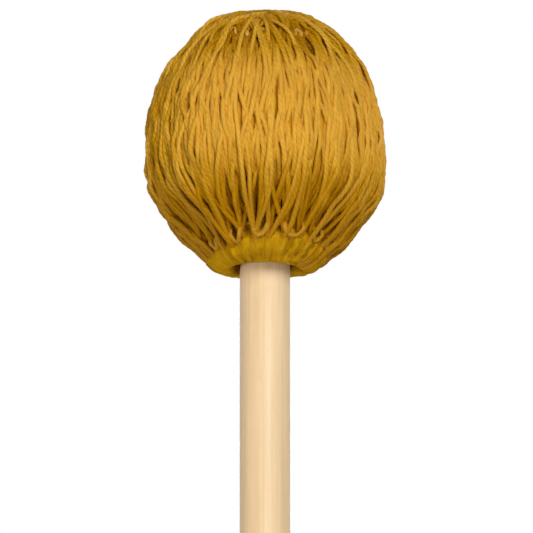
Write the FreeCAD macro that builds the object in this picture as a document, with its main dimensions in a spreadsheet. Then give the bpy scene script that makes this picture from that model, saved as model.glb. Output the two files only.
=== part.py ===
"""A marimba mallet: a birch shaft with a cord-wound head, standing head up along +Z.

The origin is the middle of the shaft's butt end. From the inside out the head is the shaft's tip, a
film of glue, a moulded rubber core, a latex band, a soft base winding, and one long cord wound up and
down the head and sewn down by a ring of stitches at the crown and another at the collar.
Lengths are in millimetres and angles in degrees.
"""

import FreeCAD, Part
import math
import os

import Sketcher
from FreeCAD import Vector

SIZES = {
    # the birch shaft
    "shaft_diameter": 7.94,
    "shaft_length": 396.0,
    "butt_rounding": 2.6,
    "tip_chamfer": 0.6,
    "tip_relief": 0.2,
    "tip_taper": 2.0,
    "taper_lead": 0.2,
    # the rubber core and the glue that holds it on the shaft
    "core_diameter": 24.0,
    "core_height": 27.0,
    "core_rounding": 7.0,
    "core_flat": 0.7,
    "tip_depth": 2.0,
    "glue_film": 0.15,
    "glue_dip": 0.4,
    "fit_gap": 0.02,
    # the latex band round the core
    "latex_thickness": 1.6,
    "latex_gap": 0.05,
    # the head's outline over the cord, round the core; heights are above the collar's lowest ring
    "winding_round_core": 6.65,
    "winding_above_core": 7.5,
    "winding_below_core": 6.6,
    "widest_height": 18.7,
    "belly_angle": 25.8,
    # the soft base winding
    "yarn_gap": 0.05,
    "shaft_gap": 0.1,
    "collar_roll": 1.75,
    "crown_button": 6.8,
    # the outer cord
    "cord_diameter": 1.0,
    "cord_gap": 0.5,
    "cord_seat": 0.15,
    "cord_loops": 24,
    "turn_radius": 1.0,
    "inner_ring": 9.2,
    "cord_sway": 0.25,
    "cord_lean": 2.5,
    # the stitches
    "thread_diameter": 0.8,
    "thread_seat": 0.1,
    "stitch_height": 1.6,
    "stitch_offset": 0.5,
}

SHEET = "sizes"
PARTS_FOLDER = "parts"
FULL_TURN = 360.0
JAW_KNOT_SHARE = 0.5  # how far down the jaw the cord's next knot lies
SAMPLE_SHARE = 0.25  # the step between measured points, in tube diameters

CORE_BOTTOM = "shaft_length + tip_depth - core_height"
HEAD_BOTTOM = f"{CORE_BOTTOM} - winding_below_core"
SHAFT_RADIUS = "shaft_diameter / 2"
TAPER_START = f"( {HEAD_BOTTOM} - taper_lead )"
TIP_RADIUS = f"( {SHAFT_RADIUS} - tip_relief )"
GLUE_RADIUS = f"( {TIP_RADIUS} + fit_gap + glue_film )"
BORE_RADIUS = f"( {GLUE_RADIUS} + fit_gap )"
CORE_RADIUS = "core_diameter / 2"
CORE_CURVE = f"min( core_rounding ; {CORE_RADIUS} - {BORE_RADIUS} - core_flat )"
FLAT_RADIUS = f"( {CORE_RADIUS} - {CORE_CURVE} )"
HOLE_RADIUS = f"( {SHAFT_RADIUS} + shaft_gap )"
COLLAR_RADIUS = f"( {HOLE_RADIUS} + 2 * collar_roll )"

# The head's outline is three arcs, met smoothly: a jaw below its widest ring, a belly above that, as
# far as the belly angle, and a crown whose centre is on the axis.
HEAD_RADIUS = "( core_diameter / 2 + winding_round_core )"
HEAD_HEIGHT = "( winding_below_core + core_height + winding_above_core )"
COVER = "( cord_diameter + cord_seat )"
BEND = "( sin( belly_angle ) + cos( belly_angle ) - 1 )"
CENTRE_STEP = f"( ( {HEAD_HEIGHT} - widest_height - {HEAD_RADIUS} ) / {BEND} )"
BELLY_RADIUS = f"( {HEAD_RADIUS} + {CENTRE_STEP} * cos( belly_angle ) )"
CROWN_RADIUS = f"( {BELLY_RADIUS} - {CENTRE_STEP} )"
JAW_REACH = f"( {HEAD_RADIUS} - {COVER} - {COLLAR_RADIUS} )"
JAW_DROP = "( widest_height - collar_roll )"
JAW_RADIUS = f"( ( {JAW_REACH} ^ 2 + {JAW_DROP} ^ 2 ) / ( 2 * {JAW_REACH} ) + {COVER} )"

# The ring where the cord turns back has room for its turns, short and long ones in turn.
RING_RADIUS = "( cord_loops * ( 2 * turn_radius + 3 * cord_diameter + 3 * cord_gap ) / 4 / pi )"


def make_sheet(doc):
    """The spreadsheet of driving dimensions, with an alias for each."""
    sheet = doc.addObject("Spreadsheet::Sheet", SHEET)
    for row, (alias, value) in enumerate(SIZES.items(), start=1):
        sheet.set(f"A{row}", alias)
        sheet.set(f"B{row}", str(value))
        sheet.setAlias(f"B{row}", alias)
    doc.recompute()
    return sheet


def cells(formula):
    """A formula in aliases, as an expression on the sheet's cells."""
    return " ".join(f"{SHEET}.{word}" if word in SIZES else word for word in formula.split())


def number(sheet, formula):
    """What a formula in aliases comes to."""
    return float(sheet.evalExpression(cells(formula)))


def new_body(doc, label, height):
    """An empty body whose own base stands at a height, a formula, on the shaft's axis."""
    body = doc.addObject("PartDesign::Body", label)
    body.Label = label
    body.setExpression("Placement.Base.z", cells(height))
    return body


def new_sketch(body, name, role):
    """An empty sketch on one of a body's own origin planes."""
    sketch = body.newObject("Sketcher::SketchObject", name)
    plane = next(f for f in body.Origin.OriginFeatures if f.Role == role)
    sketch.AttachmentSupport = [(plane, "")]
    sketch.MapMode = "FlatFace"
    return sketch


def bind(sheet, sketch, kind, place, formula):
    """A dimension of the sketch that follows a formula."""
    rule = sketch.addConstraint(Sketcher.Constraint(kind, *place, number(sheet, formula)))
    sketch.setExpression(f"Constraints[{rule}]", cells(formula))


def disc_sketch(sheet, body, name, radius):
    """A circle round the shaft's axis."""
    sketch = new_sketch(body, name, "XY_Plane")
    circle = Part.Circle(Vector(), Vector(0, 0, 1), number(sheet, radius))
    disc = sketch.addGeometry(circle, False)
    sketch.addConstraint(Sketcher.Constraint("Coincident", disc, 3, -1, 1))
    bind(sheet, sketch, "Radius", (disc,), radius)
    return sketch


def pad(body, sketch, name, length):
    """The sketch pushed up by a length."""
    feature = body.newObject("PartDesign::Pad", name)
    feature.Profile = sketch
    feature.setExpression("Length", cells(length))
    body.Document.recompute()
    return feature


def bore(body, sketch, name, depth):
    """The sketch cut upwards from the body's base to a depth."""
    feature = body.newObject("PartDesign::Pocket", name)
    feature.Profile = sketch
    feature.Reversed = True
    feature.setExpression("Length", cells(depth))
    body.Document.recompute()
    return feature


def rim_edges(feature, height):
    """The names of a feature's round edges at a height in its body."""
    names = []
    for index, edge in enumerate(feature.Shape.Edges, start=1):
        level = all(math.isclose(v.Z, height, abs_tol=1e-6) for v in edge.Vertexes)
        if level and hasattr(edge.Curve, "Radius"):
            names.append(f"Edge{index}")
    return names


def round_rims(body, base, name, radius, heights):
    """A fillet on a feature's round edges at some heights."""
    feature = body.newObject("PartDesign::Fillet", name)
    feature.Base = (base, [edge for height in heights for edge in rim_edges(base, height)])
    feature.setExpression("Radius", cells(radius))
    body.Document.recompute()
    return feature


def outline_piece(start, end, radius, turn):
    """A straight line between two corners, or the arc that turns left (+1) or right (-1) to reach one."""
    if radius is None:
        return Part.LineSegment(start, end), (1, 2)
    chord = end - start
    inward = Vector(-chord.y, chord.x) * (turn / chord.Length)
    depth = math.sqrt(radius**2 - chord.Length**2 / 4)
    centre = start + chord / 2 + inward * depth
    first, last = (start, end) if turn > 0 else (end, start)
    angles = [math.atan2(p.y - centre.y, p.x - centre.x) for p in (first, last)]
    circle = Part.Circle(centre, Vector(0, 0, 1), radius)
    return Part.ArcOfCircle(circle, *angles), (1, 2) if turn > 0 else (2, 1)


def draw_outline(sheet, sketch, corners):
    """A closed outline. Each corner is its radius, its height and how the stretch that leaves it bends."""
    points = [Vector(number(sheet, x), number(sheet, y)) for x, y, _ in corners]
    ends = []
    for index, (_, _, bend) in enumerate(corners):
        after = points[(index + 1) % len(points)]
        radius, turn = bend or (None, 0)
        length = number(sheet, radius) if radius else None
        piece, (start, end) = outline_piece(points[index], after, length, turn)
        ends.append((sketch.addGeometry(piece, False), start, end, radius))
    for index, (piece, start, end, radius) in enumerate(ends):
        following, next_start, _, _ = ends[(index + 1) % len(ends)]
        sketch.addConstraint(Sketcher.Constraint("Coincident", piece, end, following, next_start))
        if radius:
            bind(sheet, sketch, "Radius", (piece,), radius)
        for kind, axis, formula in zip(("DistanceX", "DistanceY"), (-2, -1), corners[index]):
            if formula == "0":
                sketch.addConstraint(Sketcher.Constraint("PointOnObject", piece, start, axis))
            else:
                bind(sheet, sketch, kind, (piece, start), formula)


def turned_body(doc, sheet, label, height, corners):
    """A body turned about the shaft's axis from an outline."""
    body = new_body(doc, label, height)
    sketch = new_sketch(body, f"{label}_outline", "XZ_Plane")
    draw_outline(sheet, sketch, corners)
    feature = body.newObject("PartDesign::Revolution", f"{label}_turned")
    feature.Profile = sketch
    feature.ReferenceAxis = (sketch, ["V_Axis"])
    feature.Angle = FULL_TURN
    doc.recompute()
    return body


def make_shaft(doc, sheet):
    """The birch dowel, rounded at its butt, and turned down for the glue where the head covers it."""
    corners = [
        ("0", "0", None),
        (f"{SHAFT_RADIUS} - butt_rounding", "0", ("butt_rounding", 1)),
        (SHAFT_RADIUS, "butt_rounding", None),
        (SHAFT_RADIUS, TAPER_START, None),
        (TIP_RADIUS, f"{TAPER_START} + tip_taper", None),
        (TIP_RADIUS, "shaft_length - tip_chamfer", None),
        (f"{TIP_RADIUS} - tip_chamfer", "shaft_length", None),
        ("0", "shaft_length", None),
    ]
    return turned_body(doc, sheet, "shaft", "0", corners)


def make_core(doc, sheet):
    """The moulded rubber core: a round-shouldered drum with a bore for the shaft."""
    body = new_body(doc, "core", CORE_BOTTOM)
    drum = pad(body, disc_sketch(sheet, body, "drum_circle", CORE_RADIUS), "drum", "core_height")
    ends = [0, number(sheet, "core_height")]
    round_rims(body, drum, "drum_rounding", CORE_CURVE, ends)
    bore(body, disc_sketch(sheet, body, "bore_circle", BORE_RADIUS), "shaft_bore", "core_height")
    return body


def make_tip_glue(doc, sheet):
    """The film of glue between the shaft and the core, closed over the shaft's tip."""
    body = new_body(doc, "tip_glue", CORE_BOTTOM)
    outer = disc_sketch(sheet, body, "film_circle", GLUE_RADIUS)
    pad(body, outer, "film", "core_height - glue_dip")
    inner = disc_sketch(sheet, body, "tip_circle", f"{TIP_RADIUS} + fit_gap")
    bore(body, inner, "tip_bore", "core_height - tip_depth + fit_gap")
    return body


def make_latex_band(doc, sheet):
    """The latex band stretched over the core, rolled in over its rounded ends."""
    inside, outside = "latex_gap", "( latex_gap + latex_thickness )"
    low, high = CORE_CURVE, f"core_height - {CORE_CURVE}"
    inner_bend = (f"{CORE_CURVE} + {inside}", 1)
    outer_bend = (f"{CORE_CURVE} + {outside}", -1)
    corners = [
        (FLAT_RADIUS, f"0 - {inside}", inner_bend),
        (f"{CORE_RADIUS} + {inside}", low, None),
        (f"{CORE_RADIUS} + {inside}", high, inner_bend),
        (FLAT_RADIUS, f"core_height + {inside}", None),
        (FLAT_RADIUS, f"core_height + {outside}", outer_bend),
        (f"{CORE_RADIUS} + {outside}", high, None),
        (f"{CORE_RADIUS} + {outside}", low, outer_bend),
        (FLAT_RADIUS, f"0 - {outside}", None),
    ]
    return turned_body(doc, sheet, "latex_band", CORE_BOTTOM, corners)


def make_base_winding(doc, sheet):
    """The soft winding under the cord: hollow for the core, with a rolled collar round the shaft."""
    skin = "( latex_gap + latex_thickness + yarn_gap )"
    floor, roof = "winding_below_core", "( winding_below_core + core_height )"
    notch = f"{FLAT_RADIUS} - yarn_gap"
    cavity_bend = (f"{CORE_CURVE} + {skin}", 1)
    crown_height = f"{HEAD_HEIGHT} - {CROWN_RADIUS}"
    ring_height = f"( {crown_height} + sqrt( ( {CROWN_RADIUS} - {COVER} ) ^ 2 - crown_button ^ 2 ) )"
    rise = f"( {HEAD_HEIGHT} - {ring_height} )"
    button_bend = (f"( crown_button ^ 2 + {rise} ^ 2 ) / ( 2 * {rise} )", -1)
    junction_radius = f"( {BELLY_RADIUS} - {COVER} )"
    junction = (
        f"{HEAD_RADIUS} - {BELLY_RADIUS} + {junction_radius} * cos( belly_angle )",
        f"widest_height + {junction_radius} * sin( belly_angle )",
    )
    corners = [
        ("0", HEAD_HEIGHT, button_bend),
        ("crown_button", ring_height, (f"{CROWN_RADIUS} - {COVER}", -1)),
        (*junction, (junction_radius, -1)),
        (f"{HEAD_RADIUS} - {COVER}", "widest_height", (f"{JAW_RADIUS} - {COVER}", -1)),
        (COLLAR_RADIUS, "collar_roll", ("collar_roll", -1)),
        (f"{HOLE_RADIUS} + collar_roll", "0", ("collar_roll", -1)),
        (HOLE_RADIUS, "collar_roll", None),
        (HOLE_RADIUS, f"{floor} - yarn_gap", None),
        (notch, f"{floor} - yarn_gap", None),
        (notch, f"{floor} - {skin}", None),
        (FLAT_RADIUS, f"{floor} - {skin}", cavity_bend),
        (f"{CORE_RADIUS} + {skin}", f"{floor} + {CORE_CURVE}", None),
        (f"{CORE_RADIUS} + {skin}", f"{roof} - {CORE_CURVE}", cavity_bend),
        (FLAT_RADIUS, f"{roof} + {skin}", None),
        (notch, f"{roof} + {skin}", None),
        (notch, f"{roof} + yarn_gap", None),
        ("0", f"{roof} + yarn_gap", None),
    ]
    return turned_body(doc, sheet, "base_winding", HEAD_BOTTOM, corners)


def place_at(centre, radius, angle):
    """A point of an outline arc at an angle above level, and the way the outline climbs there."""
    turn = math.radians(angle)
    outward = Vector(math.cos(turn), 0, math.sin(turn))
    return centre + outward * radius, Vector(-outward.z, 0, outward.x)


def head_places(sheet, inset):
    """Where the cord crosses the head's main rings, for a centreline that an inset draws in."""
    size = {name: number(sheet, formula) for name, formula in (
        ("head", HEAD_RADIUS), ("belly", BELLY_RADIUS), ("crown", CROWN_RADIUS), ("jaw", JAW_RADIUS),
        ("widest", "widest_height"), ("top", HEAD_HEIGHT), ("ring", RING_RADIUS),
        ("inner", "inner_ring"), ("bend", "belly_angle"))}
    jaw_centre = Vector(size["head"] - size["jaw"], 0, size["widest"])
    belly_centre = Vector(size["head"] - size["belly"], 0, size["widest"])
    crown_centre = Vector(0, 0, size["top"] - size["crown"])
    jaw = size["jaw"] - inset
    crown = size["crown"] - inset
    places = {"widest": place_at(belly_centre, size["belly"] - inset, 0)}
    places["belly"] = place_at(belly_centre, size["belly"] - inset, size["bend"])
    for name in ("ring", "inner"):
        low = -math.degrees(math.acos((size[name] - jaw_centre.x) / jaw))
        high = math.degrees(math.acos(size[name] / crown))
        places[f"low_{name}"] = place_at(jaw_centre, jaw, low)
        places[f"high_{name}"] = place_at(crown_centre, crown, high)
        if name == "ring":
            places["jaw"] = place_at(jaw_centre, jaw, low * JAW_KNOT_SHARE)
    return places


def knot(place, longitude, sideways=0, lean=0):
    """A point that a tube passes and its direction there, at a longitude round the head."""
    point, climb = place
    around = Vector(0, 1, 0)
    spin = FreeCAD.Rotation(Vector(0, 0, 1), longitude)
    way = climb * math.cos(math.radians(lean)) + around * math.sin(math.radians(lean))
    return spin.multVec(point + around * sideways), spin.multVec(way)


def arc_edge(start, way, end):
    """The arc that leaves a point along a way and ends at another point."""
    chord = end - start
    ahead = chord / chord.Length
    side = way - ahead * way.dot(ahead)
    if side.Length < 1e-9:
        return Part.LineSegment(start, end).toShape()
    swing = math.atan2(side.Length, way.dot(ahead))
    middle = start + chord / 2 + side / side.Length * (chord.Length / 2 * math.tan(swing / 2))
    return Part.Arc(start, middle, end).toShape()


def biarc(first, second):
    """The two arcs that join a pair of knots along their directions."""
    (start, leaving), (end, arriving) = first, second
    span = end - start
    both = span.dot(leaving + arriving)
    spread = 2 * (1 - leaving.dot(arriving))
    reach = span.dot(span) / (both + math.sqrt(both**2 + spread * span.dot(span)))
    meeting = (start + leaving * reach + end - arriving * reach) / 2
    back = arc_edge(end, arriving * -1, meeting)
    return [arc_edge(start, leaving, meeting), back]


def is_short(turn):
    """Whether a turn of the cord is a short one; long and short ones alternate."""
    return turn % 2 == 0


def is_free(sheet, side, turn):
    """Whether the cord has a free end in this place, at the collar, instead of a turn."""
    return side == "low" and turn % number(sheet, "cord_loops") == 0


def turn_legs(sheet, places, side, turn, longitude, hand):
    """The knots of one of a turn's two legs, from the turn's bend towards the widest ring."""
    bend_step = number(sheet, "turn_radius") * hand
    neck_step = number(sheet, "( cord_diameter + cord_gap ) / 2") * hand
    if is_free(sheet, side, turn):
        return [knot(places[f"{side}_ring"], longitude, neck_step)]
    if is_short(turn):
        return [knot(places[f"{side}_ring"], longitude, bend_step)]
    bend = knot(places[f"{side}_inner"], longitude, bend_step)
    return [bend, knot(places[f"{side}_ring"], longitude, neck_step)]


def turn_bend(sheet, places, side, turn, longitude):
    """The knot in the middle of a turn's bend."""
    point, climb = places[f"{side}_ring" if is_short(turn) else f"{side}_inner"]
    outwards = climb * number(sheet, "turn_radius") * (1 if side == "high" else -1)
    middle, _ = knot((point + outwards, climb), longitude)
    return middle, knot((point, Vector(0, 1, 0)), longitude)[1]


def strand_knots(sheet, places, strand):
    """The knots of one strand of the cord, from the collar up to the crown."""
    step = FULL_TURN / number(sheet, "2 * cord_loops")
    low_turn, high_turn = (strand + 1) // 2, strand // 2
    low_hand, high_hand = (1, -1) if strand % 2 == 0 else (-1, 1)
    low = turn_legs(sheet, places, "low", low_turn, low_turn * 2 * step, low_hand)
    high = turn_legs(sheet, places, "high", high_turn, (high_turn * 2 + 1) * step, high_hand)
    longitude = (strand + 1 / 2) * step
    sway = number(sheet, "cord_sway") * low_hand
    middle = [
        knot(places["jaw"], longitude, -sway),
        knot(places["widest"], longitude, 0, number(sheet, "cord_lean") * low_hand),
        knot(places["belly"], longitude, sway),
    ]
    return low + middle + high[::-1]


def cord_knots(sheet):
    """All knots of the outer cord: up one strand, over a turn at the crown, down the next, and so on."""
    places = head_places(sheet, number(sheet, "cord_diameter / 2"))
    strands = round(number(sheet, "2 * cord_loops"))
    step = FULL_TURN / strands
    knots = []
    for strand in range(strands):
        leg = strand_knots(sheet, places, strand)
        going_up = strand % 2 == 0
        knots += leg if going_up else [(point, way * -1) for point, way in leg[::-1]]
        side, turn = ("high", strand // 2) if going_up else ("low", (strand + 1) // 2)
        if strand < strands - 1:
            knots.append(turn_bend(sheet, places, side, turn, (strand + 1) * step))
    return knots


def tube(knots, diameter):
    """A tube of a diameter along biarcs through knots, with a straight end one diameter long."""
    first, first_way = knots[0]
    last, last_way = knots[-1]
    path = [Part.LineSegment(first - first_way * diameter, first).toShape()]
    for pair in zip(knots, knots[1:]):
        path += biarc(*pair)
    path.append(Part.LineSegment(last, last + last_way * diameter).toShape())
    wire = Part.Wire(path)
    ring = Part.Circle(first - first_way * diameter, first_way, diameter / 2).toShape()
    return wire, wire.makePipeShell([Part.Wire([ring])], True, False)


def self_gap(wire, diameter, bend_radius):
    """The least gap between stretches of a tube that lie over half a bend apart along it."""
    step = diameter * SAMPLE_SHARE
    points = wire.discretize(Distance=step)
    apart = math.pi * bend_radius / wire.Length * (len(points) - 1)
    cell = 2 * diameter
    shelves = {}
    for index, point in enumerate(points):
        shelves.setdefault(tuple(math.floor(c / cell) for c in point), []).append((index, point))
    around = range(-1, 2)
    near = [(x, y, z) for x in around for y in around for z in around]
    least = math.inf
    for (x, y, z), shelf in shelves.items():
        others = [item for i, j, k in near for item in shelves.get((x + i, y + j, z + k), [])]
        for index, point in shelf:
            for other, place in others:
                if other - index > apart:
                    least = min(least, point.distanceToPoint(place))
    return least - diameter


def add_tube(doc, sheet, label, knots, diameter, bend_radius):
    """A tube as a sub-part of its own, with its measured gap and volume printed."""
    wire, solid = tube(knots, diameter)
    expected = math.pi * diameter**2 / 4 * wire.Length
    gap = self_gap(wire, diameter, bend_radius)
    print(f"{label}: {wire.Length:.0f} mm long, least self-gap {gap:.2f} mm, "
          f"volume {solid.Volume:.1f} of {expected:.1f} mm3")
    feature = doc.addObject("Part::Feature", label)
    feature.Label = label
    feature.Shape = solid
    feature.Placement.Base = Vector(0, 0, number(sheet, HEAD_BOTTOM))
    return feature


def make_outer_winding(doc, sheet):
    """The outer cord, one unbroken tube wound up and down the head."""
    diameter = number(sheet, "cord_diameter")
    knots = cord_knots(sheet)
    return add_tube(doc, sheet, "outer_winding", knots, diameter, number(sheet, "turn_radius"))


def make_stitches(doc, sheet, label, side):
    """A ring of stitches: a thread that waves over the cord's turns, open between its two ends."""
    diameter = number(sheet, "thread_diameter")
    point, climb = head_places(sheet, -diameter / 2 - number(sheet, "thread_seat"))[f"{side}_ring"]
    middle = point + climb * number(sheet, "stitch_offset") * (-1 if side == "high" else 1)
    waves = round(number(sheet, "cord_loops"))
    swing = number(sheet, "stitch_height / 2")
    knots = []
    for half_wave in range(2 * waves - 1):
        up = 1 if half_wave % 2 == 0 else -1
        place = middle + climb * swing * up
        knots.append(knot((place, Vector(0, 1, 0)), half_wave * FULL_TURN / 2 / waves))
    return add_tube(doc, sheet, label, knots, diameter, diameter)


def check(doc, nodes):
    """Stop unless each object computed and each sub-part is one valid solid."""
    for item in doc.Objects:
        if "Invalid" in item.State or "Error" in item.State:
            raise RuntimeError(f"{item.Name} did not compute: {item.State}")
    for node in nodes:
        shape = node.Shape
        if shape.isNull() or not shape.isValid() or len(shape.Solids) != 1:
            raise RuntimeError(f"{node.Label} is not one valid solid")
        box = shape.BoundBox
        print(f"{node.Label}: {shape.Volume:.1f} mm3, {box.XLength:.2f} x {box.YLength:.2f}, "
              f"z {box.ZMin:.2f} to {box.ZMax:.2f}")


def main():
    """Build the mallet and write each sub-part."""
    doc = FreeCAD.newDocument("marimba_mallet")
    sheet = make_sheet(doc)
    nodes = [
        make_shaft(doc, sheet),
        make_core(doc, sheet),
        make_tip_glue(doc, sheet),
        make_latex_band(doc, sheet),
        make_base_winding(doc, sheet),
        make_outer_winding(doc, sheet),
        make_stitches(doc, sheet, "crown_stitch", "high"),
        make_stitches(doc, sheet, "collar_stitch", "low"),
    ]
    doc.recompute()
    check(doc, nodes)
    os.makedirs(PARTS_FOLDER, exist_ok=True)
    for node in nodes:
        node.Shape.exportStep(os.path.join(PARTS_FOLDER, f"{node.Label}.step"))


main()
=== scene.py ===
import math

import bpy
import numpy as np
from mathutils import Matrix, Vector


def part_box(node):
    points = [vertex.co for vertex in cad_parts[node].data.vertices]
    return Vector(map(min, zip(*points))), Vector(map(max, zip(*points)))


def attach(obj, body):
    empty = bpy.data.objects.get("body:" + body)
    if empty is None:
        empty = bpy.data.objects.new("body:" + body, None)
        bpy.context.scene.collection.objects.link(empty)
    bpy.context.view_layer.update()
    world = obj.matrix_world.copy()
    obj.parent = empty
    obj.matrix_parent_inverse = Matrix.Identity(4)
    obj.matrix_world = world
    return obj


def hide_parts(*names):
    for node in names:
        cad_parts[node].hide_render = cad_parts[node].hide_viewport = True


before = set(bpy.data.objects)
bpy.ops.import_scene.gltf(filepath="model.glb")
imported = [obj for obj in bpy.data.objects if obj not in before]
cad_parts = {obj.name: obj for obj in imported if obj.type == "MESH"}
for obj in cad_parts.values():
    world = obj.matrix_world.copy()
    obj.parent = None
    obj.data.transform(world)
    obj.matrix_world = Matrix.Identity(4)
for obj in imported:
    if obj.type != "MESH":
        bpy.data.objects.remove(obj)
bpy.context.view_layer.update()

# The mallet stands head up along +Z on the floor at 0. Sizes are in millimetres and turn into metres
# where a mesh is made. A place on the head is s, the length along its outline from the pole, and a
# longitude in radians: the right is at 0, the left at half a turn, the front a quarter turn below 0.
# Depths are under the outline. Numbers in brackets stand in the order that a comment gives, and those
# of a hump are its depth, offset and reach.
MM = 0.001
FULL = 2 * math.pi
QUARTER = math.pi / 2
LEFT = math.pi
RIGHT = 0.0
FRONT = -1.57
BODY = "root"
SEED = 1694

# the head's outline over the cord, as the CAD has it; heights are above the collar's lowest ring
HEAD_HEIGHT = 41.1
HEAD_RADIUS = 18.65
WIDEST_HEIGHT = 18.7
BELLY_ANGLE = 25.8
BELLY_RADIUS = 28.712
CROWN_RADIUS = 17.536
JAW_RADIUS = 20.581
ROLL_RADIUS = 2.115
HOLE_RADIUS = 4.07
HOLE_DEPTH = 3.0
HEAD_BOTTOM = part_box("base_winding")[0].z / MM

# the grid on which the winding is built up, and the step along a pass
ROW_STEP = 0.15
COLUMNS = 1440
SECTORS = 18
PATH_STEP = 0.3

# the cord: the radius that shows, the one with which it beds into others, and its twist
PASSES = 264
CORD_RADIUS = 0.37
SEAT_RADIUS = 0.27
TWIST_PITCH = 2.9
PLIES = 3
PLY_SHARE = 0.07

# a pass's way over the head
PASS_OFFSET = (0.3, 6.8)
PASS_LEAN = 0.16
LEAN_ZONE = (14.0, 42.0)
FAN_TURN = (0.27, 0.13)
FAN_ZONE = (37.0, 50.0)
WAVER = 0.3
WAVER_LENGTH = 7.0
SCATTER = 0.02
GOLDEN_SHARE = 0.6180339887
LEAST_MARGIN = 1.0
PASS_END = 0.5
POLE_RADIUS = 4.0

# the passes' ranks: lower where one leans out; the first are loose, the later fine, the last on top
OUTWARD_SHARE = 0.66
RANK_BLUR = 12
LOOSE_SHARE = 0.12
TOP_SHARE = 0.16
FINE_SHARE = 0.58

# how a pass feels for others as it is laid, and how it marks the grid
LEAST_RADIUS = 0.5
FEEL_SHARE = 0.9
FEELERS = 9
MARK_SHARE = 0.96
MARK_STEP_SHARE = 0.16
MARK_SPACING = 0.1
HEIGHT_BLUR = 1.4

# how much of the pile's own height shows, and how far a pass sinks here and there
RELIEF_SHARE = 0.3
TOP_DEPTH_SHARE = 0.8
LEAST_PILE = 0.2
SINK = 0.27
SINK_LENGTH = 4.4
SINK_POLE = 10.0
SINK_POLE_SHARE = 0.65
OPEN_SINK_SHARE = 0.5

# the open zones round the rings of stitches (reach towards the belt, away from it), where the passes
# under others are drawn down and painted darker, as painted shade
COLLAR_ZONE = (12.0, 3.0)
CROWN_ZONE = (7.0, 2.5)
CROWN_OPEN_SHARE = 0.6
DRAWN_DOWN = 1.1
UNDER_PAINTED_SHADE = 5.4
UNDER_FADE_SHARE = 0.18
UNDER_FLANK_SHARE = 0.85
UNDER_CROWN_SHARE = 0.62
FLANK_WIDTHS = (0.9, 0.85)
DEEPER_HALF = 0.16
DEEPER_SHARES = (0.6, 0.2)

# how far the passes stand out, and the hump of it round the crown's stitches
RAISED = 0.14
CROWN_RAISED = (0.36, 0.5, 6.5)

# where a pass dives under the collar, and how far and wide the strands at the right run on over it
DIVE_START = 0.2
DIVE_SCATTER = 0.5
DIVE_LATEST = 1.6
DIVE_DEPTH = 1.5
DIVE_LENGTH = 2.4
RIGHT_FOLDS = -0.55
RIGHT_RUN = (4.2, 0.45)
PAST_COLLAR = 3.0

# the tubes of the passes: step and sides, fine and buried, thickness, width and height, the tone offsets
# of the last passes and the rest, which are painted light on the uppermost passes and painted shade on
# those under them, and how their thickness changes at the stitches
PIECES = 8
FINE_TUBE = (0.3, 12)
DEEP_TUBE = (0.7, 6)
THICKNESS_SHARES = (0.92, 1.1)
FLATNESS_SHARES = (1.04, 0.9)
LAYER_LIGHT_AND_SHADE = (1.7, -0.9)
THICKER_SHARE = 0.03
THINNER_SHARE = 0.14

# the stitches: one lies nearly in front, and they drift round the head by (size, waves)
COLLAR_STITCHES = 16
CROWN_STITCHES = 27
FRONT_STITCH = 1.602
STITCH_DRIFT = ((0.35, 3), (-0.25, 5))
STITCH_SHARE = 0.46
STITCH_SWING = 0.88
CROWN_SWING_SHARE = 0.7
STITCH_POINTS = (80, 48)
THREAD_RADIUS = 0.35
CROWN_THREAD_SHARE = 0.84
THREAD_TONE = 0.5
BOWL_POWER = 2.4
LINK_DEPTH = 1.9
LINK_FADE_SHARE = 0.16
LINK_LEAD_SHARE = 0.06

# how uneven the thread is, and each stitch's own lift, depth and length
LOOSE_BLUR = 16
STITCH_BLUR = 7
LOOSE_PHASE = 0.4
LOOSE_SWING = 0.12
LOOSE_THICK_SHARE = 0.14
LIFT_SPREAD = 0.22
SUNK = (0.1, 0.2)
SUNK_LIMITS = (-0.05, 0.5)
STITCH_LENGTH_SHARES = (0.75, 1.15)

# where the threads lie, and how much deeper the collar's is at the sides (depth, left, right width)
COLLAR_RISE = 0.5
CROWN_DROP = 0.4
COLLAR_THREAD_DEPTH = 0.05
CROWN_THREAD_DEPTH = 0.26
SIDE_THREAD = (0.8, 0.8, 0.5)
THREAD_GAP = 6

# the rings of stitches: their radii, and the collar's ring drawn in at the sides and tilted
COLLAR_RING = 12.3
CROWN_RING = 11.6
RING_TILT = 0.5
RING_OVAL = 1.4
RING_TURN = 1.31

# how the stitches gather the passes, with their reach towards the belt and away from it
GATHER_SHARE = 0.8
LOOSE_GATHER_SHARE = 0.35
GATHER_SPREAD_SHARES = (0.8, 1.12)
COLLAR_GATHER = (5.5, 3.5)
CROWN_GATHER = (4.0, 2.5)
CROWN_GATHER_SHARE = 0.5

# the base under the passes: its depth, its humps, and its depth and fade at the collar
BASE_DEPTH = 1.6
BASE_BELT = (0.6, 4.0, 9.0)
BASE_CROWN = (0.3, -6.0, 10.0)
BASE_THROAT = (1.2, 3.5, 4.5)
BASE_COLLAR = (1.2, 4.0)

# its skin: rows and columns, how far it stands out, and its ribs (depth, count, sway and its length)
SKIN_START = 0.02
SKIN_PAST = 4.5
SKIN_ROWS = 130
SKIN_COLUMNS = 240
SKIN_LIFT = 0.05
SKIN_BELT = (0.32, 4.0, 10.0)
SKIN_RIBS = (0.10, 60, 2.0, 4.0)
SKIN_POLE = 6.0

# the pile's height: the part of a sector, in percent, under its top, and its smoothing
PILE_PERCENT = 93
PILE_POLE_ROWS = 8
PILE_BLUR = 10
PILE_POLE = 5.0

# how far the head is drawn in above the collar's stitches at its left and right, and where
DRAWN_IN = 0.08
DRAWN_RIGHT_SHARE = 0.3
DRAWN_WIDTHS = (0.9, 0.8)
DRAWN_PLACE = (2.4, 2.2)

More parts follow.
